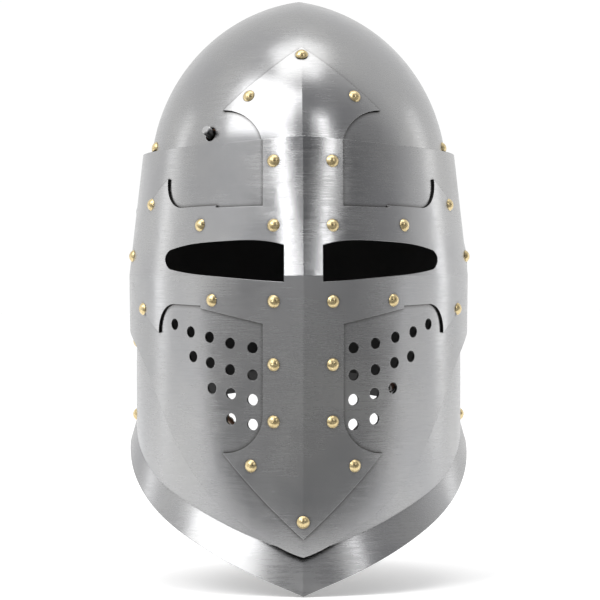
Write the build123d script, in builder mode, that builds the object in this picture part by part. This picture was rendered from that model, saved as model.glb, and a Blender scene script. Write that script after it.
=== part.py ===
from build123d import *
from math import asin, cos, degrees, radians, sin, sqrt
import os

# A visored sugarloaf helmet, in millimetres. +Z is up, the face looks along -Y, and +X is the
# wearer's left. The origin is midway between the two visor pivots, whose common axis is X.
# Places on the plates are given by an angle round an upright axis, from 0 at the face to 180 at
# the nape, and a height.

# ---------- driving dimensions ----------
PLATE = 1.6                 # 16 gauge steel sheet
CROSS_PLATE = 1.3           # lighter sheet of the applied cross
LAP_GAP = 0.1               # air between plates that are riveted face to face
BODY_LAP = 0.2              # the same, where the bevor laps over the back plate
AXIS_Y = -22.0              # the upright axis, ahead of the pivots

# skull: a pointed dome of four quarter ellipsoids that meet on a ridge
SKULL_WIDE = 109.8          # half axis across, before the ridge is drawn in
SKULL_RIDGE = 14.6          # how far each side is drawn in, which makes the ridge
SKULL_FRONT = 120.0
SKULL_BACK = 108.0
SKULL_RISE = 113.8
SKULL_LEVEL = 22.0          # height of the widest level
SKULL_HEM = 30.0            # lower edge of the skull round the sides and back
BROW_HEM = 8.0              # lower edge of the skull above the eyes
HEM_RIVET_LEVEL = 40.0

# body below the skull: back plate and bevor share one surface
BACK_TOP = 50.0
SEAM = (82.0, 95.0)         # angles between which the bevor laps over the back plate
CHEEK_HEM = -86.0           # lower edge of the back plate's cheeks, behind the bevor

# visor: three levels of its surface, as (height, half width, front, ridge)
VISOR_TOP = (45.0, 99.0, 128.8, 9.0)
VISOR_BREAK = (-41.0, 108.8, 146.0, 22.0)
VISOR_CHIN = (-215.0, 107.0, 133.0, 26.0)
VISOR_REAR = 17.0           # the visor's arms end this far behind the pivots

# cross on the visor and the skull
BAR_HALF = 24.3             # half width of the upright bar
HEAD_HALF = 48.4            # half width across an upright bar's arrowhead
ARM_LEVEL = -29.0
ARM_HALF = 29.5             # half height of the arms where their arrowheads begin
ARM_HEAD_HALF = 47.5
ARM_HEAD_ANGLE = 57.0       # angle of the middle of each arm's arrowhead

BREATH_R = 3.5
RIVET_R = 1.9
DOME_R, DOME_H = 3.9, 2.4
HOLE_PLAY = 0.03            # round a riveted shank

# visor pivots, along X at the origin
PIVOT_R = 3.0
PIVOT_PLAY = 0.05
BOSS_R, BOSS_FACE = 6.0, 103.55
BOLT_HEAD_R, BOLT_HEAD_H = 4.6, 1.5
WASHER_R, WASHER_FACE = 5.5, 98.2
BURR_R, BURR_FACE = 4.5, 88.8
RUN_GAP = 0.25              # between faces that slide past each other

# spring stud that holds the raised visor, on the wearer's right
STUD_R, STUD_OUT = 2.9, 5.8
STUD_PLAY = 1.3             # its hole in the skull is loose
FLANGE_R, FLANGE_TOP, FLANGE_LOW = 5.4, -4.2, -5.4
PIP_R, PIP_LOW = 2.0, -7.2  # the flange's middle, which the leaf spring bears on
LEAF_THICK, LEAF_HALF = 0.8, 4.5
LEAF_GAP, LEAF_BEND = 0.3, 7.0

# leather lining
LEATHER = 2.0
BAND_LOW, BAND_HIGH = 18.0, 46.0
THONG_R, THONG_HEIGHT, THONG_THICK = 22.0, 99.0, 1.4

# chin strap: it hangs in the plane y = STRAP_Y from two rivets
STRAP_HALF = 10.0
STRAP_THICK = 2.4
STRAP_Y = -8.0
STRAP_TOP = -48.0           # height of its rivets
STRAP_SIDE = 91.2           # how far out its upright ends hang
STRAP_TURN = (STRAP_SIDE, -84.0)
STRAP_LOW = (18.0, -163.2)
NEAR_BAR, FAR_BAR = 40.0, 60.0      # buckle bars, along the strap from its turn
WIRE_R = 1.5
FRAME_HALF = 14.0
EYE_R = 3.85
PRONG_R = 1.1

FAR = 300.0                 # longer than the helmet, for cutting shapes


# ---------- surfaces ----------
def plan_radius(angle, half_width, ridge, front, back):
    """Distance from the upright axis to an oval drawn in by ridge on each side."""
    across, ahead = sin(radians(angle)), cos(radians(angle))
    wide = half_width + ridge
    sharp = sqrt(1 - (ridge / wide) ** 2)
    deep = (front if ahead > 0 else back) / sharp
    square = (across / wide) ** 2 + (ahead / deep) ** 2
    linear = across * ridge / wide**2
    return (sqrt(linear**2 + square * sharp**2) - linear) / square


def body_radius(angle, height):
    """Outer surface of the bevor; the back plate lies one sheet further in."""
    half_width = 104.2 - 12.7 * (max(0, height + 100) / 150) ** 1.9
    front = 138 - 23.2 * (max(0, height + 60) / 110) ** 1.1
    front -= 10 * max(0, -60 - height) / 155
    back = 110 - 6.6 * (max(0, height + 60) / 110) ** 1.9
    ridge = 22 - 7.4 * min(1, max(0, height + 60) / 90)
    return plan_radius(angle, half_width, ridge, front, back)


def level_radius(angle, level):
    height, half_width, front, ridge = level
    return plan_radius(angle, half_width, ridge, front, 110)


def visor_radius(angle, height):
    """Outer surface of the visor plate: straight between its three levels."""
    upper, lower = (VISOR_TOP, VISOR_BREAK) if height > VISOR_BREAK[0] else (VISOR_BREAK, VISOR_CHIN)
    share = (height - lower[0]) / (upper[0] - lower[0])
    return share * level_radius(angle, upper) + (1 - share) * level_radius(angle, lower)


def on_wall(radius, angle, height, out=0.0):
    """Point at an angle and height on a wall, moved outwards from the axis."""
    reach = radius(angle, height) + out
    return Vector(reach * sin(radians(angle)), AXIS_Y - reach * cos(radians(angle)), height)


def wall_plane(radius, angle, height, out=0.0):
    """Plane that touches a wall, with its normal outwards and x going rearwards."""
    step = 0.5
    round_it = on_wall(radius, angle + step, height) - on_wall(radius, angle - step, height)
    up_it = on_wall(radius, angle, height + step) - on_wall(radius, angle, height - step)
    normal = round_it.cross(up_it).normalized()
    return Plane(on_wall(radius, angle, height) + normal * out, x_dir=round_it, z_dir=normal)


def angle_at(radius, x, height):
    """Angle at which a wall's point at this height stands x to the side, ahead of the axis."""
    low, high = 0.0, 90.0
    for _ in range(30):
        middle = (low + high) / 2
        if on_wall(radius, middle, height).X < x:
            low = middle
        else:
            high = middle
    return low


def skull_plane(x, height):
    """Plane that touches the front of the skull on its wearer's left half."""
    along_x = (x + SKULL_RIDGE) / SKULL_WIDE
    along_z = (height - SKULL_LEVEL) / SKULL_RISE
    depth = sqrt(1 - along_x**2 - along_z**2)
    point = Vector(x, AXIS_Y - SKULL_FRONT * depth, height)
    normal = Vector(along_x / SKULL_WIDE, -depth / SKULL_FRONT, along_z / SKULL_RISE)
    return Plane(point, x_dir=(0, 0, 1), z_dir=normal.normalized())


def skull_hem_plane(angle):
    """Plane that touches the skull at the level of its hem rivets."""
    along_z = (HEM_RIVET_LEVEL - SKULL_LEVEL) / SKULL_RISE
    shrink = sqrt(1 - along_z**2)
    half_width = SKULL_WIDE * shrink - SKULL_RIDGE
    sharp = sqrt(1 - (SKULL_RIDGE / (SKULL_WIDE * shrink)) ** 2)
    deep = SKULL_FRONT if angle < 90 else SKULL_BACK
    reach = plan_radius(angle, half_width, SKULL_RIDGE, deep * shrink * sharp, deep * shrink * sharp)
    x, y = reach * sin(radians(angle)), -reach * cos(radians(angle))
    along_x = (x + SKULL_RIDGE) / SKULL_WIDE
    normal = Vector(along_x / SKULL_WIDE, y / deep**2, along_z / SKULL_RISE)
    point = Vector(x, AXIS_Y + y, HEM_RIVET_LEVEL)
    return Plane(point, x_dir=(0, 0, 1), z_dir=normal.normalized())


def upright_plane(angle):
    """Upright plane through the axis: its x is the distance from the axis, its y the height."""
    across, ahead = sin(radians(angle)), cos(radians(angle))
    return Plane((0, AXIS_Y, 0), x_dir=(across, -ahead, 0), z_dir=(-ahead, -across, 0))


def half_wall(stations, outline):
    """One half of a plate, lofted through its upright sections at the stations."""
    with BuildPart() as half:
        for angle in stations:
            with BuildSketch(upright_plane(angle)):
                with BuildLine():
                    Polyline(*outline(angle), close=True)
                make_face()
        loft()
    return half.part


def skull_dome(out):
    """Solid dome inside the skull's surface moved outwards by out."""
    wide, rise = SKULL_WIDE + out, SKULL_RISE + out
    quarters = []
    for deep, way in ((SKULL_FRONT + out, -1), (SKULL_BACK + out, 1)):
        ball = Pos(-SKULL_RIDGE, AXIS_Y, SKULL_LEVEL) * scale(Sphere(1), by=(wide, deep, rise))
        quarters.append(ball & Pos(FAR / 2, AXIS_Y + way * FAR / 2, 0) * Box(FAR, FAR, 2 * FAR))
    half = quarters[0] + quarters[1]
    return half + mirror(half, about=Plane.YZ)


def both_sides(planes):
    """The planes, and their mirror images on the wearer's right."""
    mirrored = []
    for plane in planes:
        origin, x_dir, z_dir = plane.origin, plane.x_dir, plane.z_dir
        mirrored.append(
            Plane(
                (-origin.X, origin.Y, origin.Z),
                x_dir=(-x_dir.X, x_dir.Y, x_dir.Z),
                z_dir=(-z_dir.X, z_dir.Y, z_dir.Z),
            )
        )
    return list(planes) + mirrored


def cap_radius(base_r, height):
    """Radius of the sphere whose cap has this base and height."""
    return (base_r**2 + height**2) / (2 * height)


def rivet(grip, dome_r=DOME_R, dome_h=DOME_H, shank_r=RIVET_R):
    """Domed rivet, its head standing on z = 0 and its tail hammered over below the grip."""
    tail_r, tail_h, play = 1.5 * shank_r, 1.0, 0.2
    with BuildPart() as one:
        with BuildSketch(Plane.XZ):
            with BuildLine():
                Polyline((0, dome_h), (0, -grip - play - tail_h), (0.7 * tail_r, -grip - play - tail_h))
                Line((0.7 * tail_r, -grip - play - tail_h), (tail_r, -grip - play))
                Polyline((tail_r, -grip - play), (shank_r, -grip - play), (shank_r, 0), (dome_r, 0))
                RadiusArc((dome_r, 0), (0, dome_h), -cap_radius(dome_r, dome_h))
            make_face()
        revolve(axis=Axis.Z)
    return one.part


def rivet_holes(planes, radius=RIVET_R + HOLE_PLAY, depth=20.0):
    """Cutters for the rivets' holes, through every plate under the planes."""
    with BuildPart() as holes:
        with Locations(*planes):
            Cylinder(radius, depth)
    return holes.part


parts = {}


def keep(name, shape):
    """Label a finished sub-part and remember it for export."""
    shape.label = name
    parts[name] = shape


# ---------- where the rivets go ----------
def visor_spot(x, height, out):
    return wall_plane(visor_radius, angle_at(visor_radius, x, height), height, out)


CROSS_OUT = LAP_GAP / 2 + CROSS_PLATE    # the cross's outer face above the visor's
bar_rivets = [visor_spot(17.5, height, CROSS_OUT) for height in (28, -11, -56.5, -94.5, -129)]
bar_rivets += [visor_spot(31, -156, CROSS_OUT)]
arm_rivets = [visor_spot(61.5, -10.5, CROSS_OUT), visor_spot(54.5, -56, CROSS_OUT)]
arm_rivets += [
    wall_plane(visor_radius, ARM_HEAD_ANGLE, ARM_LEVEL + 32, CROSS_OUT),
    wall_plane(visor_radius, ARM_HEAD_ANGLE + 1.5, ARM_LEVEL - 33, CROSS_OUT),
    wall_plane(visor_radius, 73, ARM_LEVEL, CROSS_OUT),
]
chin_point = on_wall(visor_radius, 0, -189.5, CROSS_OUT)
bar_spots = both_sides(bar_rivets + arm_rivets)
chin_spot = Plane(chin_point, x_dir=(1, 0, 0), z_dir=(0, -1, -0.08))
cross_spots = bar_spots + [chin_spot]

skull_bar_spots = [plane.offset(CROSS_OUT) for plane in both_sides([skull_plane(32, 68.5)])]
ridge_spot = Plane(skull_plane(0, 94).origin, x_dir=(1, 0, 0), z_dir=(0, -0.72, 0.69)).offset(CROSS_OUT + 0.2)
skull_cross_spots = skull_bar_spots + [ridge_spot]

hem_spots = both_sides([skull_hem_plane(angle) for angle in (75, 100, 125, 150)])
hem_spots.append(Plane(skull_hem_plane(180).origin, x_dir=(1, 0, 0), z_dir=(0, 1, 0.153)).offset(0.05))
seam_spots = both_sides([wall_plane(body_radius, 89, height) for height in (-83.5, -130.5)])

# ---------- skull ----------
def skull_outline():
    """What the skull keeps, seen from the side: above its hem, and above the brow in front."""
    with BuildPart() as kept:
        with BuildSketch(Plane.YZ):
            with BuildLine():
                Polyline(
                    (-FAR, BROW_HEM),
                    (-86, BROW_HEM),
                    (-78, SKULL_HEM),
                    (FAR, SKULL_HEM),
                    (FAR, FAR),
                    (-FAR, FAR),
                    close=True,
                )
            make_face()
        extrude(amount=FAR, both=True)
    return kept.part


stud_hole = skull_plane(56, 46)
stud_axis = Vector(-0.55, -0.66, 0.51).normalized()
stud_foot = Vector(-stud_hole.origin.X, stud_hole.origin.Y, stud_hole.origin.Z)
stud_plane = Plane(stud_foot, x_dir=(0, 0, 1), z_dir=stud_axis)
spring_spot = both_sides([skull_plane(74, 19)])[1]

skull_shell = skull_dome(0) - skull_dome(-PLATE)
skull_kept = skull_outline()
skull_holes = rivet_holes(skull_cross_spots + hem_spots + [spring_spot])

with BuildPart() as skull:
    add(skull_shell)
    add(skull_kept, mode=Mode.INTERSECT)
    add(skull_holes, mode=Mode.SUBTRACT)
    with Locations(stud_plane):
        Cylinder(STUD_R + STUD_PLAY, 16, mode=Mode.SUBTRACT)
keep("skull", skull.part)


# ---------- back plate ----------
def rim_height(angle):
    """Lower edge of the body: a shallow point at the chin, sides, then a gentler slope."""
    if angle < 90:
        return -234 + 85 * angle / 90
    return -149 + 30 * sin(radians(angle - 90))


def flare(angle):
    """How far the rim turns out beyond the body's surface."""
    return 4.0 + 6.0 * cos(radians(angle)) ** 2


def body_half(tops, out):
    """Half of a body plate: its wall, then the flared rim. tops gives its upper edge by angle."""
    with BuildPart() as half:
        for angle, top in tops.items():
            rim = rim_height(angle)
            crease = rim + 14 + 9 * max(0, 1 - angle / 60)
            levels = [top + (crease - top) * step / 8 for step in range(9)]
            outer = [(body_radius(angle, level) + out, level) for level in levels]
            inner = [(r - PLATE, level) for r, level in reversed(outer)]
            rim_r = body_radius(angle, crease) + out + flare(angle)
            with BuildSketch(upright_plane(angle)):
                with BuildLine():
                    Spline(*outer)
                    Polyline(outer[-1], (rim_r, rim), (rim_r - PLATE, rim), inner[0])
                    Spline(*inner)
                    Line(inner[-1], outer[0])
                make_face()
        loft()
    return half.part


BACK_OUT = -PLATE - BODY_LAP
BACK_STATIONS = (57, 63, 70, 76, 82, 86, 90, 95, 108, 122, 136, 150, 165, 180)
back_half = body_half({angle: BACK_TOP for angle in BACK_STATIONS}, BACK_OUT)

seam_y = on_wall(body_radius, SEAM[0], -100).Y
with BuildPart() as cheek_cut:
    with BuildSketch(Plane.YZ):
        with BuildLine():
            Polyline(
                (-FAR, CHEEK_HEM),
                (seam_y - 6, CHEEK_HEM),
                (seam_y, CHEEK_HEM - 6),
                (seam_y, -FAR),
                (-FAR, -FAR),
                close=True,
            )
        make_face()
    extrude(amount=FAR, both=True)

strap_angle = 90 + degrees(asin((STRAP_Y - AXIS_Y) / body_radius(97, STRAP_TOP)))
strap_wall = on_wall(body_radius, strap_angle, STRAP_TOP, BACK_OUT).X    # outer face at the strap


def strap_rivet(play=0.0, rim=0.4):
    """Countersunk rivet along X that the chin strap swings on, on the wearer's left."""
    shank, head = RIVET_R + play, 1.8 * RIVET_R + play
    with BuildPart() as one:
        with BuildSketch(Plane.XZ):
            with BuildLine():
                Polyline(
                    (STRAP_SIDE - 4.3, 0),
                    (STRAP_SIDE - 4.3, 0.7 * BURR_R),
                    (STRAP_SIDE - 2.9, BURR_R),
                    (STRAP_SIDE - 1.6, BURR_R),
                    (STRAP_SIDE - 1.6, shank),
                    (strap_wall - 1.6, shank),
                    (strap_wall + 0.2, head),
                    (strap_wall + 0.2 + rim, head),
                    (strap_wall + 0.2 + rim, 0),
                    close=True,
                )
            make_face()
        revolve(axis=Axis.X)
    return Pos(0, STRAP_Y, STRAP_TOP) * one.part


strap_rivet_left = strap_rivet()
strap_hole_left = strap_rivet(HOLE_PLAY, rim=4)
back_holes = rivet_holes(hem_spots + seam_spots)

with BuildPart() as back_plate:
    add(back_half)
    mirror(about=Plane.YZ)
    add(cheek_cut.part, mode=Mode.SUBTRACT)
    add(back_holes, mode=Mode.SUBTRACT)
    add([strap_hole_left, mirror(strap_hole_left, about=Plane.YZ)], mode=Mode.SUBTRACT)
    Cylinder(PIVOT_R + HOLE_PLAY, FAR, rotation=(0, 90, 0), mode=Mode.SUBTRACT)
keep("back_plate", back_plate.part)

# ---------- bevor ----------
BEVOR_TOP = {     # angle: top edge
    0: -190,
    12: -177,
    26: -156,
    42: -120,
    58: -80,
    70: -66,
    76: -62.5,
    82: -60,
    86: -59,
    90: -58.4,
    95: -58,
}
bevor_half = body_half(BEVOR_TOP, 0)
bevor_holes = rivet_holes(seam_spots)

with BuildPart() as bevor:
    add(bevor_half)
    mirror(about=Plane.YZ)
    add(bevor_holes, mode=Mode.SUBTRACT)
keep("bevor", bevor.part)


# ---------- visor ----------
VISOR_EDGES = {     # angle: (top edge, lower edge)
    0: (43.5, -211),
    6: (42.4, -205.5),
    12: (41.4, -198),
    26: (39.4, -177.5),
    42: (38, -141),
    58: (37, -100),
    74: (36.3, -82),
    90: (35.8, -75),
    102: (35.6, -72.5),
    114: (35.4, -71),
}


def visor_section(angle, inside, outside):
    top, bottom = VISOR_EDGES[angle]
    levels = (top, VISOR_BREAK[0], bottom)
    outer = [(visor_radius(angle, level) + outside, level) for level in levels]
    inner = [(visor_radius(angle, level) + inside, level) for level in levels]
    return outer + inner[::-1]


visor_half = half_wall(VISOR_EDGES, lambda angle: visor_section(angle, -PLATE, 0))
cross_half = half_wall(VISOR_EDGES, lambda angle: visor_section(angle, LAP_GAP / 2, CROSS_OUT))

# what is cut from the visor's rear, seen from the side: its ends and their rounded corners
with BuildPart() as rear_cut:
    with BuildSketch(Plane.YZ):
        with BuildLine():
            Line((VISOR_REAR - 12, 60), (VISOR_REAR - 12, 36))
            RadiusArc((VISOR_REAR - 12, 36), (VISOR_REAR, 24), 12)
            Line((VISOR_REAR, 24), (VISOR_REAR, -1))
            RadiusArc((VISOR_REAR, -1), (VISOR_REAR - 27, -73), 170)
            Polyline((VISOR_REAR - 27, -73), (VISOR_REAR - 27, -FAR), (FAR, -FAR), (FAR, 60))
            Line((FAR, 60), (VISOR_REAR - 12, 60))
        make_face()
    extrude(amount=FAR, both=True)

# the sights, cut straight back through the visor and its cross
with BuildPart() as sights:
    with BuildSketch(Plane.XZ):
        with BuildLine():
            Line((11.7, -44.8), (11.7, -22.6))
            Spline((11.7, -22.6), (20, -20.6), (50, -20.3), (69, -22.2), (81, -25.5))
            ThreePointArc((81, -25.5), (84, -31), (81, -37.3))
            Spline((81, -37.3), (69, -39.8), (50, -41.8), (30, -43.6), (11.7, -44.8))
        make_face()
        mirror(about=Plane.YZ)
    extrude(amount=FAR)

# breaths: four rows that droop towards the ridge, drilled square to the plate
BREATH_ROWS = (
    ((30.5, -84.5), (44, -82), (56.5, -78.5), (68, -75.5), (78, -71)),
    ((30.5, -101), (44, -98), (56, -94), (66.5, -90.5)),
    ((30.5, -116), (43.5, -112.5), (55, -109.5)),
    ((30.5, -131), (43.5, -128)),
)
breath_spots = both_sides([visor_spot(x, z, 0) for row in BREATH_ROWS for x, z in row])

breaths = rivet_holes(breath_spots, BREATH_R)
cross_holes = rivet_holes(cross_spots)

with BuildPart() as visor_plate:
    add(visor_half)
    mirror(about=Plane.YZ)
    add(rear_cut.part, mode=Mode.SUBTRACT)
    add(sights.part, mode=Mode.SUBTRACT)
    add(breaths, mode=Mode.SUBTRACT)
    add(cross_holes, mode=Mode.SUBTRACT)
    Cylinder(PIVOT_R + PIVOT_PLAY, FAR, rotation=(0, 90, 0), mode=Mode.SUBTRACT)
keep("visor_plate", visor_plate.part)


# ---------- cross ----------
def arrowhead(tip_y, point_y):
    """Half outline of an upright bar's arrowhead, from its undercut to its point."""
    way = 1 if point_y > tip_y else -1
    radius = HEAD_HALF - BAR_HALF
    neck_y = tip_y - way * radius
    bend = radius * (1 - sqrt(0.5))
    ThreePointArc((BAR_HALF, neck_y), (BAR_HALF + bend, tip_y - way * bend), (HEAD_HALF, tip_y))
    ThreePointArc((HEAD_HALF, tip_y), (0.54 * HEAD_HALF, 0.5 * (tip_y + point_y)), (0, point_y))


arm_middle = wall_plane(visor_radius, ARM_HEAD_ANGLE, ARM_LEVEL)
arm_plane = Plane(arm_middle.origin, x_dir=arm_middle.x_dir, z_dir=arm_middle.x_dir.cross(Vector(0, 0, 1)))
ARM_NECK, ARM_TIP, ARM_POINT = -38.0, -20.0, 39.0    # along the arm, from its arrowhead's middle

with BuildPart() as front_stencil:
    with BuildSketch(Plane.XZ):
        with BuildLine():
            Polyline((0, 60), (BAR_HALF, 60), (BAR_HALF, 1), (62, 0), (62, -61), (BAR_HALF, -70))
            Line((BAR_HALF, -70), (BAR_HALF, -149 + HEAD_HALF - BAR_HALF))
            arrowhead(-149, -200)
            Line((0, -200), (0, 60))
        make_face()
        mirror(about=Plane.YZ)
    extrude(amount=FAR)

with BuildPart() as arm_stencil:
    with BuildSketch(arm_plane.offset(-25)):
        with BuildLine():
            bend = (ARM_HEAD_HALF - ARM_HALF) * sqrt(0.5)
            Polyline((ARM_NECK, ARM_HALF), (-66, ARM_HALF + 1), (-66, 0), (ARM_POINT, 0))
            ThreePointArc((ARM_POINT, 0), (11, 26.5), (ARM_TIP, ARM_HEAD_HALF))
            ThreePointArc(
                (ARM_TIP, ARM_HEAD_HALF),
                (ARM_NECK + bend, ARM_HEAD_HALF - bend),
                (ARM_NECK, ARM_HALF),
            )
        make_face()
        mirror(about=Plane.XZ)
    extrude(amount=50)
    mirror(about=Plane.YZ)

visor_stencil = front_stencil.part + arm_stencil.part

with BuildPart() as visor_cross:
    add(cross_half)
    mirror(about=Plane.YZ)
    add(visor_stencil, mode=Mode.INTERSECT)
    add(sights.part, mode=Mode.SUBTRACT)
    add(cross_holes, mode=Mode.SUBTRACT)
keep("visor_cross", visor_cross.part)

with BuildPart() as skull_stencil:
    with BuildSketch(Plane.XZ):
        with BuildLine():
            Polyline((0, 26), (BAR_HALF, 26), (BAR_HALF, 60.5 - HEAD_HALF + BAR_HALF))
            arrowhead(60.5, 100)
            Line((0, 100), (0, 26))
        make_face()
        mirror(about=Plane.YZ)
    extrude(amount=FAR)

skull_skin = skull_dome(CROSS_OUT) - skull_dome(LAP_GAP / 2)
skull_cross_holes = rivet_holes(skull_cross_spots)

with BuildPart() as skull_cross:
    add(skull_skin)
    add(skull_stencil.part, mode=Mode.INTERSECT)
    add(skull_cross_holes, mode=Mode.SUBTRACT)
keep("skull_cross", skull_cross.part)


# ---------- rivets ----------
def rivet_group(name, *groups):
    """One node of rivets, from groups of (planes, grip)."""
    ones = [rivet(grip) for _, grip in groups]
    with BuildPart() as group:
        for (spots, _), one in zip(groups, ones):
            with Locations(*spots):
                add(one)
    keep(name, group.part)


HEM_GRIP = 2 * PLATE + 2.2 + LEATHER    # the skull, the back plate and the lining's band
RIDGE_DROP = 1.2                        # the plates fall away inside a ridge

rivet_group(
    "visor_rivets",
    (bar_spots, CROSS_OUT + PLATE),
    ([chin_spot], CROSS_OUT + PLATE + RIDGE_DROP),
)
rivet_group(
    "skull_cross_rivets",
    (skull_bar_spots, CROSS_OUT + PLATE),
    ([ridge_spot], CROSS_OUT + PLATE + RIDGE_DROP),
)
rivet_group("skull_rivets", (hem_spots, HEM_GRIP))
rivet_group("seam_rivets", (seam_spots, 2 * PLATE + BODY_LAP))


# ---------- visor pivots ----------
def near_pivot(radius, inside, outside):
    """Thick piece of a wall round the left pivot, for trimming what lies against the wall."""
    levels = (-12, 0, 12)

    def section(angle):
        outer = [(radius(angle, level) + outside, level) for level in levels]
        inner = [(radius(angle, level) + inside, level) for level in levels]
        return outer + inner[::-1]

    return half_wall((90, 96, 102, 108, 114), section)


under_boss = near_pivot(visor_radius, -6, 0.15)
under_washer = near_pivot(body_radius, BACK_OUT - 6, BACK_OUT + 0.15)
over_burr = near_pivot(body_radius, BACK_OUT - PLATE - 0.15, 8)


def pivot_pair(name, radius, bore, low, high, trim):
    """Turned piece on each pivot, from low to high along X, trimmed to the wall beside it."""
    with BuildPart() as pair:
        with Locations(((low + high) / 2, 0, 0)):
            Cylinder(radius, high - low, rotation=(0, 90, 0))
            Cylinder(bore, high - low, rotation=(0, 90, 0), mode=Mode.SUBTRACT)
        add(trim, mode=Mode.SUBTRACT)
        mirror(about=Plane.YZ)
    keep(name, pair.part)


pivot_pair("visor_bosses", BOSS_R, PIVOT_R + PIVOT_PLAY, 99.5, BOSS_FACE, under_boss)
pivot_pair("pivot_washers", WASHER_R, PIVOT_R + HOLE_PLAY, 92.5, WASHER_FACE, under_washer)
pivot_pair("pivot_burrs", BURR_R, PIVOT_R + HOLE_PLAY, BURR_FACE, 94.5, over_burr)

with BuildPart() as pivot_bolts:
    with BuildSketch(Plane.XZ):
        with BuildLine():
            head = BOSS_FACE + RUN_GAP
            Polyline((head, PIVOT_R), (BURR_FACE - 0.6, PIVOT_R), (BURR_FACE - 0.6, 0))
            Line((BURR_FACE - 0.6, 0), (head + BOLT_HEAD_H, 0))
            RadiusArc((head + BOLT_HEAD_H, 0), (head, BOLT_HEAD_R), -cap_radius(BOLT_HEAD_R, BOLT_HEAD_H))
            Line((head, BOLT_HEAD_R), (head, PIVOT_R))
        make_face()
    revolve(axis=Axis.X)
    mirror(about=Plane.YZ)
keep("pivot_bolts", pivot_bolts.part)


# ---------- spring stud ----------
with BuildPart() as catch_stud:
    with BuildSketch(Plane.XZ):
        with BuildLine():
            Polyline(
                (0, STUD_OUT),
                (STUD_R - 0.5, STUD_OUT),
                (STUD_R, STUD_OUT - 0.5),
                (STUD_R, FLANGE_TOP),
                (FLANGE_R, FLANGE_TOP),
                (FLANGE_R, FLANGE_LOW),
                (PIP_R, FLANGE_LOW),
                (PIP_R, PIP_LOW + 0.7),
                (0.5 * PIP_R, PIP_LOW),
                (0, PIP_LOW),
                close=True,
            )
        make_face()
    revolve(axis=Axis.Z)
keep("catch_stud", stud_plane.location * catch_stud.part)

# the leaf lies under the stud and is riveted to the skull beside the face opening
leaf_foot = spring_spot.offset(-PLATE - LAP_GAP).origin
leaf_tip = stud_plane.offset(PIP_LOW - 2 * RUN_GAP).origin
leaf_normal = spring_spot.z_dir
leaf_reach = leaf_tip - leaf_foot
leaf_along = (leaf_reach - leaf_normal * leaf_reach.dot(leaf_normal)).normalized()
leaf_plane = Plane(leaf_foot, x_dir=leaf_along, z_dir=leaf_along.cross(leaf_normal))
tip_s, tip_n = leaf_reach.dot(leaf_along), leaf_reach.dot(leaf_normal)

with BuildPart() as catch_spring:
    with BuildSketch(leaf_plane):
        with BuildLine():
            slope = (tip_n + LEAF_GAP) / (tip_s - LEAF_BEND)
            end_s = tip_s + 4.0
            end_n = slope * (end_s - LEAF_BEND) - LEAF_GAP
            Polyline(
                (-6, -LEAF_GAP),
                (LEAF_BEND, -LEAF_GAP),
                (end_s, end_n),
                (end_s, end_n - LEAF_THICK),
                (LEAF_BEND, -LEAF_GAP - LEAF_THICK),
                (-6, -LEAF_GAP - LEAF_THICK),
                close=True,
            )
        make_face()
    extrude(amount=LEAF_HALF, both=True)
    with Locations(spring_spot):
        Cylinder(RIVET_R + HOLE_PLAY, 20, mode=Mode.SUBTRACT)
keep("catch_spring", catch_spring.part)
rivet_group("catch_spring_rivet", ([spring_spot], PLATE + LAP_GAP + LEAF_GAP + LEAF_THICK + 0.1))


# ---------- leather lining ----------
def band_section(angle):
    outer = BACK_OUT - PLATE - 0.35
    high, low = body_radius(angle, BAND_HIGH) + outer, body_radius(angle, BAND_LOW) + outer
    return [(low, BAND_LOW), (high, BAND_HIGH), (high - LEATHER, BAND_HIGH), (low - LEATHER, BAND_LOW)]


band_half = half_wall(range(60, 181, 15), band_section)
band_holes = rivet_holes(hem_spots)

with BuildPart() as liner_band:
    add(band_half)
    mirror(about=Plane.YZ)
    add(band_holes, mode=Mode.SUBTRACT)
keep("liner_band", liner_band.part)

TONGUE_ANGLES = (80, 108, 136, 165)
with BuildPart() as liner_tongues:
    for angle in TONGUE_ANGLES:
        foot_r = body_radius(angle, BAND_HIGH) + BACK_OUT - PLATE - 2.5 * LEATHER
        rise = THONG_HEIGHT - BAND_HIGH - 1.0
        lean = foot_r - THONG_R - 2.0
        length = sqrt(rise**2 + lean**2)
        across, ahead = sin(radians(angle)), cos(radians(angle))
        foot = Vector(foot_r * across, AXIS_Y - foot_r * ahead, BAND_HIGH + 0.8)
        up = Vector(-lean * across, lean * ahead, rise).normalized()
        round_it = Vector(ahead, across, 0)
        with BuildSketch(Plane(foot, x_dir=round_it, z_dir=round_it.cross(up))):
            with BuildLine():
                Polyline((-15, 0), (15, 0), (4, length), (-4, length), close=True)
            make_face()
        extrude(amount=LEATHER / 2, both=True)
    mirror(about=Plane.YZ)
keep("liner_tongues", liner_tongues.part)

with BuildPart() as liner_thong:
    with Locations((0, AXIS_Y, THONG_HEIGHT + 2)):
        Torus(THONG_R, THONG_THICK)
keep("liner_thong", liner_thong.part)


# ---------- chin strap ----------
run = Vector(STRAP_LOW[0] - STRAP_TURN[0], STRAP_LOW[1] - STRAP_TURN[1]).normalized()


def along(s, n=0.0):
    """Point of the strap's left slope, as (x, height): s from its turn, n inwards."""
    return (STRAP_TURN[0] + run.X * s + run.Y * n, STRAP_TURN[1] + run.Y * s - run.X * n)


def slope_origin(s):
    return (along(s)[0], STRAP_Y, along(s)[1])


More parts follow.
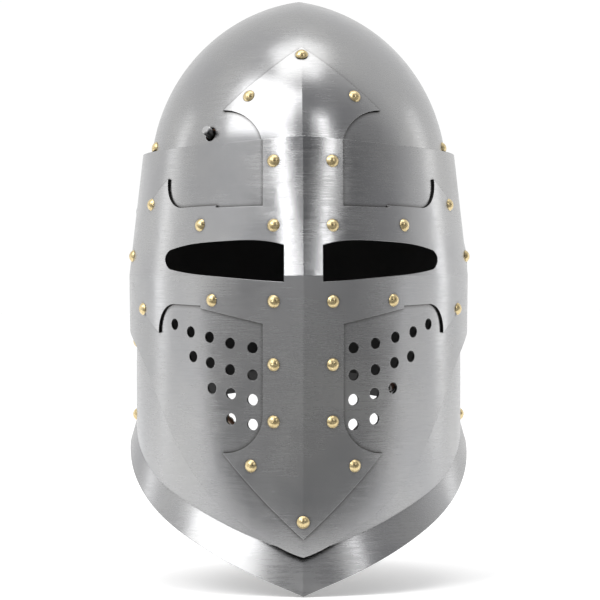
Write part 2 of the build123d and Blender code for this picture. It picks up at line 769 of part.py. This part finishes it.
run_dir, inward_dir = (run.X, 0, run.Y), (run.Y, 0, -run.X)
strap_plane = Plane((0, STRAP_Y, 0), x_dir=(1, 0, 0), z_dir=(0, -1, 0))    # its y is height
side_plane = Plane(slope_origin(NEAR_BAR), x_dir=run_dir, z_dir=(0, 1, 0))
flat_plane = Plane(slope_origin(NEAR_BAR), x_dir=run_dir, z_dir=inward_dir)
BAR_GAP = FAR_BAR - NEAR_BAR
STRAP_END = STRAP_TOP + STRAP_HALF

with BuildPart() as strap_left:
    with BuildSketch(strap_plane):
        with BuildLine():
            FilletPolyline((STRAP_SIDE, STRAP_END), STRAP_TURN, along(NEAR_BAR - 2.5), radius=18)
        trace(line_width=STRAP_THICK)
        with Locations(along(NEAR_BAR)):
            Circle(EYE_R)
            Circle(WIRE_R + 0.35, mode=Mode.SUBTRACT)
    extrude(amount=STRAP_HALF - 0.5, both=True)
    with Locations((STRAP_SIDE, STRAP_Y, STRAP_TOP)):
        Cylinder(RIVET_R + PIVOT_PLAY, 10, rotation=(0, 90, 0), mode=Mode.SUBTRACT)
    with BuildSketch(side_plane):
        Rectangle(9.6, 12)
    extrude(amount=2.3, both=True, mode=Mode.SUBTRACT)
keep("strap_left", strap_left.part)

# the long strap passes behind the far bar, over the near one and on under the keeper
with BuildPart() as strap_right:
    with BuildSketch(strap_plane):
        with BuildLine():
            FilletPolyline(
                (-STRAP_SIDE, STRAP_END),
                (-STRAP_TURN[0], STRAP_TURN[1]),
                (-STRAP_LOW[0], STRAP_LOW[1]),
                STRAP_LOW,
                along(FAR_BAR + 14),
                along(FAR_BAR + 5, 3.5),
                along(FAR_BAR - 1, 3.5),
                along(NEAR_BAR, -5.7),
                along(NEAR_BAR - 9, -5.7),
                along(NEAR_BAR - 16, -2.9),
                along(NEAR_BAR - 29, -2.9),
                radius=(18, 22, 22, 12, 5, 5, 5, 5, 5),
            )
        trace(line_width=STRAP_THICK)
    extrude(amount=STRAP_HALF, both=True)
    with Locations((-STRAP_SIDE, STRAP_Y, STRAP_TOP)):
        Cylinder(RIVET_R + PIVOT_PLAY, 10, rotation=(0, 90, 0), mode=Mode.SUBTRACT)
    with BuildSketch(side_plane):
        with Locations((0.42 * BAR_GAP, -1)):
            Rectangle(10.4, 16)
    extrude(amount=PRONG_R + 0.5, both=True, mode=Mode.SUBTRACT)
keep("strap_right", strap_right.part)

with BuildPart() as buckle_frame:
    with BuildLine(flat_plane):
        FilletPolyline((0, 0), (0, FRAME_HALF), (BAR_GAP, FRAME_HALF), (BAR_GAP, 0), radius=3.5)
    with BuildSketch(side_plane):
        Circle(WIRE_R)
    sweep()
    mirror(about=side_plane)
keep("buckle_frame", buckle_frame.part)

prong_dir = Vector(*along(FAR_BAR, -2.96)) - Vector(*along(NEAR_BAR))
prong_dir = Vector(prong_dir.X, 0, prong_dir.Y).normalized()
with BuildPart() as buckle_prong:
    with BuildSketch(side_plane):
        Circle(2.9)
    extrude(amount=1.8, both=True)
    with BuildSketch(Plane(Vector(*slope_origin(NEAR_BAR)) + prong_dir * 2, z_dir=prong_dir)):
        Circle(PRONG_R)
    extrude(amount=BAR_GAP + 0.6)
    with BuildSketch(side_plane):
        Circle(WIRE_R + PIVOT_PLAY)
    extrude(amount=3, both=True, mode=Mode.SUBTRACT)
keep("buckle_prong", buckle_prong.part)

with BuildPart() as strap_keeper:
    with BuildSketch(Plane(slope_origin(13), x_dir=(0, 1, 0), z_dir=run_dir)):
        with Locations((0, 1.45)):
            RectangleRounded(2 * STRAP_HALF + 3.8, 9.1, 2)
            Rectangle(2 * STRAP_HALF + 0.8, 6.1, mode=Mode.SUBTRACT)
    extrude(amount=7)
keep("strap_keeper", strap_keeper.part)

strap_rivet_pair = strap_rivet_left + mirror(strap_rivet_left, about=Plane.YZ)
keep("strap_rivets", strap_rivet_pair)

with BuildPart() as strap_washers:
    with BuildSketch(Plane.YZ.offset(STRAP_SIDE + 1.5)):
        with Locations((STRAP_Y, STRAP_TOP)):
            Circle(5)
            Circle(RIVET_R + HOLE_PLAY, mode=Mode.SUBTRACT)
    extrude(amount=3.6)
    mirror(about=Plane.YZ)
keep("strap_washers", strap_washers.part)

os.makedirs("parts", exist_ok=True)
for name, shape in parts.items():
    export_step(shape, f"parts/{name}.step")
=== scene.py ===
import math

import bmesh
import bpy
from mathutils import Matrix, Vector, noise
from mathutils.bvhtree import BVHTree


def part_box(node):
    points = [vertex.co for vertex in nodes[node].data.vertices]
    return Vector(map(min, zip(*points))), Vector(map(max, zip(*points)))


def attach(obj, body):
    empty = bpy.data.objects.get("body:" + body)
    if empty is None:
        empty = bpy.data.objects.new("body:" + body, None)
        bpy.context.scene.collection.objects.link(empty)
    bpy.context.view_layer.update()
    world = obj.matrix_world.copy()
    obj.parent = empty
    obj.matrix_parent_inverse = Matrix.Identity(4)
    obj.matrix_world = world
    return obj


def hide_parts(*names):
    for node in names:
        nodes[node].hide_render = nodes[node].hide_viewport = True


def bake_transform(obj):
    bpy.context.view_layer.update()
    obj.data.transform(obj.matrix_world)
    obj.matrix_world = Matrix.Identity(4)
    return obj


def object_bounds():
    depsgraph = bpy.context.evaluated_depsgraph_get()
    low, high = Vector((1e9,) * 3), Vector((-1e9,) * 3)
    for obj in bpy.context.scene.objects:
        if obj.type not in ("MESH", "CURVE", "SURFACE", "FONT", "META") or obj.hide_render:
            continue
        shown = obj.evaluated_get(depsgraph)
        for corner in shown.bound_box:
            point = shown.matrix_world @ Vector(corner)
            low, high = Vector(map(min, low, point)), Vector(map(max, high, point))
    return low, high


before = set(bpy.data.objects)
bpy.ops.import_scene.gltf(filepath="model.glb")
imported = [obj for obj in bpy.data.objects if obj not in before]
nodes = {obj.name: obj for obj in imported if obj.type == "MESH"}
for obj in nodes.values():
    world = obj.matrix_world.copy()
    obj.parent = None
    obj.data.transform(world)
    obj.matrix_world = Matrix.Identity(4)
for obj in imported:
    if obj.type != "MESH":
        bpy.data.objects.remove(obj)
cad_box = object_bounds()
MM = 0.001
AXIS_Y = -22 * MM            # the helmet's upright axis
DOME_LEVEL = 22 * MM         # the skull's widest level

# ---------------------------------------------------------------- materials


class Mat:
    """A node material with short helpers; colours and numbers that don't vary sit on the shader itself."""

    def __init__(self, name, **values):
        self.mat = bpy.data.materials.new(name)
        self.mat.use_nodes = True
        self.tree = self.mat.node_tree
        self.shader = self.tree.nodes["Principled BSDF"]
        for key, value in values.items():
            self.shader.inputs[key.replace("_", " ")].default_value = value
        self.coords = self.add("ShaderNodeTexCoord").outputs["Object"]

    def add(self, kind, **settings):
        node = self.tree.nodes.new(kind)
        for key, value in settings.items():
            setattr(node, key, value)
        return node

    def link(self, source, target):
        self.tree.links.new(source, target)

    def stretched(self, scale, turn=(0, 0, 0)):
        mapping = self.add("ShaderNodeMapping")
        mapping.inputs["Scale"].default_value = scale
        mapping.inputs["Rotation"].default_value = turn
        self.link(self.coords, mapping.inputs["Vector"])
        return mapping.outputs["Vector"]

    def noise(self, scale, detail=4.0, rough=0.55, vector=None):
        node = self.add("ShaderNodeTexNoise")
        node.inputs["Scale"].default_value = scale
        node.inputs["Detail"].default_value = detail
        node.inputs["Roughness"].default_value = rough
        self.link(vector or self.coords, node.inputs["Vector"])
        return node.outputs["Fac"]

    def remap(self, source, low, high, out_low, out_high):
        node = self.add("ShaderNodeMapRange")
        for key, value in zip(("From Min", "From Max", "To Min", "To Max"), (low, high, out_low, out_high)):
            node.inputs[key].default_value = value
        self.link(source, node.inputs["Value"])
        return node.outputs["Result"]

    def math(self, kind, a, b):
        node = self.add("ShaderNodeMath", operation=kind)
        for socket, value in zip(node.inputs, (a, b)):
            if isinstance(value, float):
                socket.default_value = value
            else:
                self.link(value, socket)
        return node.outputs["Value"]

    def mix(self, factor, a, b):
        node = self.add("ShaderNodeMix", data_type="RGBA")
        self.link(factor, node.inputs["Factor"])
        for socket, value in zip((node.inputs[6], node.inputs[7]), (a, b)):
            if isinstance(value, tuple):
                socket.default_value = (*value, 1.0)
            else:
                self.link(value, socket)
        return node.outputs[2]

    def bump(self, height, strength, distance, normal=None):
        node = self.add("ShaderNodeBump")
        node.inputs["Strength"].default_value = strength
        node.inputs["Distance"].default_value = distance
        self.link(height, node.inputs["Height"])
        if normal:
            self.link(normal, node.inputs["Normal"])
        return node.outputs["Normal"]

    def out(self, **sockets):
        for key, source in sockets.items():
            self.link(source, self.shader.inputs[key.replace("_", " ")])
        return self.mat


SEAM_SHADE_REACH = 2.6 * MM       # how far the painted shade spreads from a seam


def steel(name, tone, rough, grain=1.0, edge=0.45):
    """Hand-polished sheet steel: cloudy roughness, belt marks, fine scratches, and painted shade darkening
    its seams and corners.
    """
    m = Mat(name, Metallic=1.0)
    cloud = m.noise(14, 5, 0.6)
    smudge = m.noise(46, 3, 0.5)
    belt = m.noise(1.0, 3, 0.6, m.stretched((60, 60, 1500), (0.02, 0.03, 0)))
    cross = m.noise(1.0, 2, 0.5, m.stretched((900, 900, 45), (0.25, 0.1, 0.4)))
    scored = m.noise(1.0, 5, 0.7, m.stretched((35, 500, 500), (0.4, 0.2, 0.6)))
    scratch = m.remap(scored, 0.66, 0.72, 0.0, 1.0)
    value = m.math("ADD", m.remap(cloud, 0.3, 0.7, -0.05, 0.06), m.remap(smudge, 0.3, 0.7, -0.025, 0.025))
    value = m.math("ADD", value, m.remap(belt, 0.3, 0.7, -0.045 * grain, 0.045 * grain))
    roughness = m.math("ADD", value, float(rough))
    dark, light = (tone * 0.86, tone * 0.865, tone * 0.885), (tone, tone * 0.995, tone * 0.985)
    colour = m.mix(m.remap(cloud, 0.3, 0.72, 0.0, 1.0), dark, light)
    # Painted shade: ambient occlusion darkens the colour in seams, corners and under overlapping plates.
    corner = m.add("ShaderNodeAmbientOcclusion", samples=6)
    corner.inputs["Distance"].default_value = SEAM_SHADE_REACH
    seam_shade = m.remap(corner.outputs["AO"], 0.62, 0.97, 0.0, 1.0)
    colour = m.mix(seam_shade, (tone * 0.22, tone * 0.21, tone * 0.2), colour)
    round_edge = m.add("ShaderNodeBevel", samples=4)
    round_edge.inputs["Radius"].default_value = edge * MM
    lines = m.math("ADD", m.math("MULTIPLY", belt, 0.6), m.math("MULTIPLY", cross, 0.4))
    lines = m.math("SUBTRACT", lines, m.math("MULTIPLY", scratch, 0.5))
    fine = m.bump(lines, 0.10 * grain, 0.04 * MM, round_edge.outputs["Normal"])
    dents = m.bump(m.noise(9, 1, 0.4), 0.25, 1.2 * MM, fine)
    return m.out(Base_Color=colour, Roughness=roughness, Normal=dents)


def brass(name):
    """Pale cast brass with a little tarnish and tumbling marks."""
    m = Mat(name, Metallic=1.0)
    tarnish = m.noise(420, 4, 0.6)
    colour = m.mix(m.remap(tarnish, 0.35, 0.75, 0.0, 1.0), (0.74, 0.61, 0.35), (0.46, 0.35, 0.17))
    roughness = m.remap(m.noise(900, 3, 0.6), 0.3, 0.7, 0.2, 0.38)
    tumbled = m.bump(m.noise(1400, 2, 0.5), 0.25, 0.05 * MM)
    return m.out(Base_Color=colour, Roughness=roughness, Normal=tumbled)


def leather(name, light, dark, rough, grain_size=1.0):
    """Veg-tanned leather: pores and creases in bump, cloudy dye, and darker worn patches."""
    m = Mat(name)
    cells = m.add("ShaderNodeTexVoronoi", feature="DISTANCE_TO_EDGE")
    cells.inputs["Scale"].default_value = 900 / grain_size
    m.link(m.coords, cells.inputs["Vector"])
    cloud = m.noise(60, 6, 0.65)
    colour = m.mix(m.remap(cloud, 0.3, 0.7, 0.0, 1.0), dark, light)
    pore = m.remap(cells.outputs["Distance"], 0.0, 0.12, 0.0, 1.0)
    roughness = m.remap(m.noise(140, 4, 0.6), 0.3, 0.7, rough - 0.08, rough + 0.1)
    crease = m.bump(m.noise(90, 5, 0.6), 0.5, 0.5 * MM, m.bump(pore, 0.6, 0.12 * MM))
    return m.out(Base_Color=colour, Roughness=roughness, Normal=crease)


def plain_stage(name, tone):
    """Matt paper with a faint cloudiness."""
    m = Mat(name, Roughness=0.8)
    colour = m.mix(m.noise(0.6, 2, 0.5), (tone, tone, tone), (tone * 0.985, tone * 0.985, tone * 0.985))
    return m.out(Base_Color=colour)


PLATE_STEEL = steel("polished_plate", 0.36, 0.25)
CROSS_STEEL = steel("polished_cross", 0.40, 0.24)
RIM_STEEL = steel("polished_bevor", 0.38, 0.27)
# Near-black, rough steel for the plates' inside faces.
DARK_INSIDE = steel("near_black_inside", 0.05, 0.62, 0.5, 0.2)
# Painted shade: near-black cut edges stand in for the shadow in the gaps under the plates' raised edges.
EDGE_SHADE = steel("painted_shade_edge", 0.03, 0.5, 1.0, 0.08)
FITTING_STEEL = steel("turned_steel", 0.42, 0.30, 0.7, 0.25)
SPRING_STEEL = steel("spring_steel", 0.28, 0.36, 0.7, 0.2)
RIVET_BRASS = brass("rivet_brass")
STRAP_LEATHER = leather("strap_leather", (0.16, 0.075, 0.04), (0.07, 0.032, 0.018), 0.42)
LINING_LEATHER = leather("lining_leather", (0.30, 0.15, 0.085), (0.17, 0.08, 0.045), 0.7, 0.7)
WAXED_THREAD = leather("waxed_thread", (0.62, 0.52, 0.36), (0.42, 0.33, 0.21), 0.5, 0.3)
THONG_LEATHER = leather("thong_leather", (0.36, 0.22, 0.12), (0.22, 0.12, 0.065), 0.6, 0.6)


def dress(obj, material):
    """Give an object one material all over."""
    obj.data.materials.clear()
    obj.data.materials.append(material)
    for polygon in obj.data.polygons:
        polygon.material_index = 0


INSIDE_BELOW, EDGE_BELOW = -0.45, 0.5       # how far a face points away from the helmet's heart


def dress_plate(obj, outside):
    """A plate: polished outside, near-black inside, and painted shade on its cut edges, which are near-black.
    """
    dress(obj, outside)
    obj.data.materials.append(DARK_INSIDE)
    obj.data.materials.append(EDGE_SHADE)
    heart = Vector((0, AXIS_Y, DOME_LEVEL))
    for polygon in obj.data.polygons:
        outward = polygon.center - heart
        outward.z = max(0.0, outward.z)
        facing = outward.normalized().dot(polygon.normal)
        if facing < INSIDE_BELOW:
            polygon.material_index = 1
        elif facing < EDGE_BELOW:
            polygon.material_index = 2


for name, material in {
    "skull": PLATE_STEEL,
    "back_plate": PLATE_STEEL,
    "bevor": RIM_STEEL,
    "skull_cross": CROSS_STEEL,
    "visor_plate": PLATE_STEEL,
    "visor_cross": CROSS_STEEL,
}.items():
    dress_plate(nodes[name], material)

for name, material in {
    "skull_rivets": RIVET_BRASS,
    "skull_cross_rivets": RIVET_BRASS,
    "seam_rivets": RIVET_BRASS,
    "visor_rivets": RIVET_BRASS,
    "pivot_bolts": FITTING_STEEL,
    "pivot_washers": FITTING_STEEL,
    "pivot_burrs": FITTING_STEEL,
    "visor_bosses": FITTING_STEEL,
    "catch_stud": FITTING_STEEL,
    "catch_spring_rivet": FITTING_STEEL,
    "strap_rivets": FITTING_STEEL,
    "buckle_frame": FITTING_STEEL,
    "buckle_prong": FITTING_STEEL,
}.items():
    dress(nodes[name], material)

# ---------------------------------------------------------------- leather goods and the leaf spring


def middle(node):
    """Centre of a CAD node's box."""
    low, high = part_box(node)
    return (Vector(low) + Vector(high)) / 2


def worn_copy(node, name, cell, wave, passes, material):
    """The node's own solid re-cut on a fine grid, its corners worn round and its faces gently uneven."""
    source = nodes[node]
    obj = bpy.data.objects.new(name, source.data.copy())
    obj.matrix_world = source.matrix_world.copy()
    bpy.context.scene.collection.objects.link(obj)
    bm = bmesh.new()
    bm.from_mesh(obj.data)
    bmesh.ops.remove_doubles(bm, verts=bm.verts, dist=0.002 * MM)
    bm.to_mesh(obj.data)
    bm.free()
    grid = obj.modifiers.new("grid", "REMESH")
    grid.mode = "VOXEL"
    grid.voxel_size = cell * MM
    wear = obj.modifiers.new("wear", "SMOOTH")
    wear.factor, wear.iterations = 0.5, passes
    bpy.context.view_layer.update()
    ready = obj.evaluated_get(bpy.context.evaluated_depsgraph_get())
    mesh = bpy.data.meshes.new_from_object(ready)
    obj.modifiers.clear()
    obj.data = mesh
    if wave:
        normals = [vertex.normal.copy() for vertex in mesh.vertices]
        for vertex, normal in zip(mesh.vertices, normals):
            broad, fine = noise.noise(vertex.co * 45), noise.noise(vertex.co * 260)
            vertex.co += normal * wave * MM * (0.7 * broad + 0.3 * fine)
    mesh.shade_smooth()
    dress(obj, material)
    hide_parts(node)
    return obj


def stitches(name, owner, marks, length=2.9, thick=0.42):
    """Waxed thread stitches, each a plump bead along its seam; marks are (place, along, out)."""
    bm = bmesh.new()
    for place, along, out in marks:
        side = along.cross(out).normalized()
        turn = Matrix((along, side, out)).transposed().to_4x4()
        size = Matrix.Diagonal((length / 2 * MM, thick * MM, thick * MM, 1))
        bmesh.ops.create_uvsphere(
            bm, u_segments=8, v_segments=6, radius=1, matrix=Matrix.Translation(place) @ turn @ size
        )
    mesh = bpy.data.meshes.new(name)
    bm.to_mesh(mesh)
    bm.free()
    mesh.shade_smooth()
    obj = bpy.data.objects.new(name, mesh)
    bpy.context.scene.collection.objects.link(obj)
    dress(obj, WAXED_THREAD)
    obj.parent = owner
    obj.matrix_parent_inverse = owner.matrix_world.inverted()


def rays(obj):
    """Search tree of the object's faces, in its own coordinates."""
    return BVHTree.FromObject(obj, bpy.context.evaluated_depsgraph_get())


def hit(tree, obj, origin, way):
    """First place and normal that a ray from origin meets on the object, or None."""
    back = obj.matrix_world.inverted()
    place, normal, _, _ = tree.ray_cast(back @ origin, back.to_3x3() @ way)
    return (obj.matrix_world @ place, normal.normalized()) if place else None


STRAP_PLANE_Y = middle("strap_keeper").y
SEAM_OFFSET = 7.4 * MM              # rows of stitches, from the strap's middle line
STITCH_STEP = 4.4 * MM
STITCH_LIFT = 0.05 * MM             # how far a stitch's middle stands off the leather
CAST_FROM, CAST_REACH = 6 * MM, 9 * MM
SEAM_FIRST, SEAM_LAST = 62, 178     # degrees from dead ahead, either side


def strap_seams(obj, name, start, end):
    """Two rows of stitches down both faces of a straight stretch of strap, found by casting at its faces."""
    tree = rays(obj)
    run = end - start
    count = int(run.length / STITCH_STEP)
    along = run.normalized()
    across = Vector((0, 1, 0))
    away = along.cross(across).normalized()
    marks = []
    for index in range(count):
        centre = start + along * (index + 0.5) * STITCH_STEP
        for row in (-SEAM_OFFSET, SEAM_OFFSET):
            for side in (1, -1):
                origin = centre + across * row + away * side * CAST_FROM
                found = hit(tree, obj, origin, -away * side)
                if found and (found[0] - origin).length < CAST_REACH:
                    out = away * side
                    marks.append((found[0] + out * STITCH_LIFT, along, out))
    stitches(name, obj, marks)


def ring_seam(obj, height, step):
    """Marks for stitches round the inside of the lining at one height; angles are counted from dead ahead."""
    tree = rays(obj)
    marks = []
    origin = Vector((0, AXIS_Y, height * MM))
    for index in range(int((SEAM_LAST - SEAM_FIRST) / step) + 1):
        angle = math.radians(SEAM_FIRST + index * step)
        for side in (1, -1):
            way = Vector((side * math.sin(angle), -math.cos(angle), 0))
            found = hit(tree, obj, origin, way)
            if found:
                place, normal = found
                out = normal if normal.dot(way) < 0 else -normal
                along = out.cross(Vector((0, 0, 1))).normalized()
                marks.append((place + out * STITCH_LIFT, along, along.cross(out).cross(along).normalized()))
    return marks


left = worn_copy("strap_left", "strap_short", 0.5, 0.10, 4, STRAP_LEATHER)
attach(left, "chin_strap")
right = worn_copy("strap_right", "strap_long", 0.5, 0.10, 4, STRAP_LEATHER)
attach(right, "chin_strap")
keeper = worn_copy("strap_keeper", "strap_loop", 0.35, 0.06, 4, STRAP_LEATHER)
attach(keeper, "chin_strap")
washers = worn_copy("strap_washers", "strap_pads", 0.3, 0.06, 4, LINING_LEATHER)
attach(washers, "helmet")
band = worn_copy("liner_band", "lining_band", 0.7, 0.08, 2, LINING_LEATHER)
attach(band, "helmet")
tongues = worn_copy("liner_tongues", "lining_tongues", 0.65, 0.30, 3, LINING_LEATHER)
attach(tongues, "helmet")


def strap_point(x, z):
    """Point of the chin strap's middle plane, from millimetres."""
    return Vector((x * MM, STRAP_PLANE_Y, z * MM))


STRAP_SIDE = 91.2                   # how far out the strap's upright ends hang, in millimetres
UPRIGHT_TOP, UPRIGHT_END = -58, -76
strap_seams(
    left, "short_strap_upright_seam",
    strap_point(STRAP_SIDE, UPRIGHT_TOP), strap_point(STRAP_SIDE, UPRIGHT_END),
)
strap_seams(left, "short_strap_slope_seam", strap_point(86.0, -89.6), strap_point(71.0, -105.9))
strap_seams(
    right, "long_strap_upright_seam",
    strap_point(-STRAP_SIDE, UPRIGHT_TOP), strap_point(-STRAP_SIDE, UPRIGHT_END),
)
strap_seams(right, "long_strap_slope_seam", strap_point(-84.0, -91.8), strap_point(-30.0, -150.2))

BAND_LOW_SEAM, BAND_HIGH_SEAM, TONGUE_SEAM = 21.0, 43.2, 49.5
stitches("lining_low_seam", band, ring_seam(band, BAND_LOW_SEAM, 2.6))
stitches("lining_high_seam", band, ring_seam(band, BAND_HIGH_SEAM, 2.6))
stitches("tongue_foot_seam", tongues, ring_seam(tongues, TONGUE_SEAM, 2.0), 2.2)


THONG_TURNS, THONG_STEPS = 17, 408
KNOT_TURNS, KNOT_STEPS = 4, 96
KNOT_WIDTH, KNOT_SWELL = 5.2 * MM, 2.1


def draw_thong():
    """A two-ply thong drawn up into a closed ring above the tongues, with a wrapped knot at its back."""
    low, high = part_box("liner_thong")
    centre = (Vector(low) + Vector(high)) / 2
    ring = (high[0] - low[0]) / 2 - (high[2] - low[2]) / 2
    ply = (high[2] - low[2]) / 4 * 0.98
    curve = bpy.data.curves.new("draw_thong", "CURVE")
    curve.dimensions = "3D"
    curve.bevel_depth = ply
    curve.bevel_resolution = 3

    def add(points, closed):
        spline = curve.splines.new("POLY")
        spline.points.add(len(points) - 1)
        for target, point in zip(spline.points, points):
            target.co = (*point, 1)
        spline.use_cyclic_u = closed

    for phase in (0, math.pi):
        loop = []
        for index in range(THONG_STEPS):
            a = math.tau * index / THONG_STEPS
            twist = THONG_TURNS * a + phase
            r = ring + ply * math.cos(twist)
            loop.append(centre + Vector((r * math.sin(a), -r * math.cos(a), ply * math.sin(twist))))
        add(loop, True)
    knot = []
    swell = KNOT_SWELL * ply
    for index in range(KNOT_STEPS + 1):
        a = math.tau * KNOT_TURNS * index / KNOT_STEPS
        drift = (index / KNOT_STEPS - 0.5) * KNOT_WIDTH
        knot.append(centre + Vector((drift, ring + swell * math.cos(a), swell * math.sin(a))))
    add(knot, False)
    mesh_source = bpy.data.objects.new("draw_thong_path", curve)
    bpy.context.scene.collection.objects.link(mesh_source)
    bpy.context.view_layer.update()
    mesh = bpy.data.meshes.new_from_object(
        mesh_source.evaluated_get(bpy.context.evaluated_depsgraph_get())
    )
    bpy.data.objects.remove(mesh_source)
    mesh.shade_smooth()
    obj = bpy.data.objects.new("draw_thong", mesh)
    bpy.context.scene.collection.objects.link(obj)
    dress(obj, THONG_LEATHER)
    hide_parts("liner_thong")
    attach(obj, "helmet")


draw_thong()
leaf = worn_copy("catch_spring", "catch_leaf", 0.35, 0, 1, SPRING_STEEL)
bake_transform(leaf)

# ---------------------------------------------------------------- stage, light and camera
EYE_LEVEL = -37.7 * MM
CAMERA_REACH = 2.0
CAMERA_TURN = math.radians(1.2)
FLOOR_Z = cad_box[0][2] - 0.5 * MM
FLOOR_HALF = 12.0


def studio_floor():
    """Wide paper floor with a soft grain."""
    mesh = bpy.data.meshes.new("floor")
    bm = bmesh.new()
    bmesh.ops.create_grid(bm, x_segments=8, y_segments=8, size=FLOOR_HALF)
    bm.to_mesh(mesh)
    bm.free()
    obj = bpy.data.objects.new("floor", mesh)
    obj.location.z = FLOOR_Z
    bpy.context.scene.collection.objects.link(obj)
    paper = plain_stage("floor_paper", 0.95)
    glow = paper.node_tree.nodes["Principled BSDF"].inputs
    glow["Emission Color"].default_value = (1, 1, 1, 1)
    glow["Emission Strength"].default_value = 0.24
    dress(obj, paper)


CARD_SIZE, CARD_AHEAD, CARD_ABOVE = (4.4, 1.6), 1.06, 4 * MM


def grey_card():
    """Matt grey card ahead of the helmet that only the polished steel reflects."""
    mesh = bpy.data.meshes.new("grey_card")
    bm = bmesh.new()
    bmesh.ops.create_grid(bm, x_segments=4, y_segments=4, size=0.5)
    bm.to_mesh(mesh)
    bm.free()
    obj = bpy.data.objects.new("grey_card", mesh)
    obj.scale = (*CARD_SIZE, 1.0)
    obj.location = (0, -CARD_AHEAD, FLOOR_Z + CARD_ABOVE)
    bpy.context.scene.collection.objects.link(obj)
    dress(obj, plain_stage("card_paper", 0.24))
    obj.visible_camera = False
    obj.visible_diffuse = False
    obj.visible_shadow = False


studio_floor()
grey_card()


def softbox(name, azimuth, elevation, reach, size, power, target=(0, AXIS_Y, -0.05)):
    """Rectangular area light that faces the helmet; azimuth 0 is over the camera, positive to its right."""
    light = bpy.data.lights.new(name, "AREA")
    light.shape = "RECTANGLE"
    light.size, light.size_y = size
    light.energy = power
    obj = bpy.data.objects.new(name, light)
    a, e = math.radians(azimuth), math.radians(elevation)
    aim = Vector(target)
    obj.location = aim + reach * Vector((math.sin(a) * math.cos(e), -math.cos(a) * math.cos(e), math.sin(e)))
    obj.rotation_euler = (aim - obj.location).to_track_quat("-Z", "Y").to_euler()
    bpy.context.scene.collection.objects.link(obj)
    return obj


softbox("key_left", -52, 42, 1.9, (1.5, 1.1), 15)
softbox("fill_right", 34, 26, 2.0, (0.22, 0.9), 3)
softbox("top", 0, 84, 1.8, (1.5, 1.0), 10)
softbox("strip_left", -27, 18, 2.0, (0.16, 0.7), 2.6)
softbox("side_left", -115, 5, 1.8, (0.3, 1.3), 1.5)
softbox("side_right", 118, 5, 1.8, (0.3, 1.3), 1.5)


def studio_world():
    """White tent, darker ahead of the helmet and to its right."""
    world = bpy.data.worlds.new("studio")
    bpy.context.scene.world = world
    world.use_nodes = True
    tree = world.node_tree

    def add(kind, **settings):
        node = tree.nodes.new(kind)
        for key, value in settings.items():
            setattr(node, key, value)
        return node

    coords, toward = add("ShaderNodeTexCoord"), add("ShaderNodeVectorMath", operation="DOT_PRODUCT")
    toward.inputs[1].default_value = (0.38, -0.92, -0.1)
    tree.links.new(coords.outputs["Generated"], toward.inputs[0])
    ramp = add("ShaderNodeValToRGB")
    ramp.color_ramp.interpolation = "EASE"
    tree.links.new(toward.outputs["Value"], ramp.inputs["Fac"])
    first, last = ramp.color_ramp.elements
    first.position, first.color = 0.0, (1.0, 1.0, 1.0, 1)
    last.position, last.color = 0.95, (0.10, 0.103, 0.11, 1)
    between = ramp.color_ramp.elements.new(0.55)
    between.color = (0.42, 0.42, 0.43, 1)
    shader = tree.nodes["Background"]
    tree.links.new(ramp.outputs["Color"], shader.inputs["Color"])
    shader.inputs["Strength"].default_value = 1.02


studio_world()

camera = bpy.data.cameras.new("camera")
camera.sensor_width = 36
camera.lens = 186
camera.shift_x = 0.0025
camera.shift_y = -0.05
camera.clip_end = 50
camera_object = bpy.data.objects.new("camera", camera)
camera_object.location = (
    -CAMERA_REACH * math.sin(CAMERA_TURN),
    AXIS_Y - CAMERA_REACH * math.cos(CAMERA_TURN),
    EYE_LEVEL,
)
camera_object.rotation_euler = (math.pi / 2, 0, -CAMERA_TURN)
bpy.context.scene.collection.objects.link(camera_object)
bpy.context.scene.camera = camera_object
bpy.context.scene.view_settings.view_transform = "Standard"
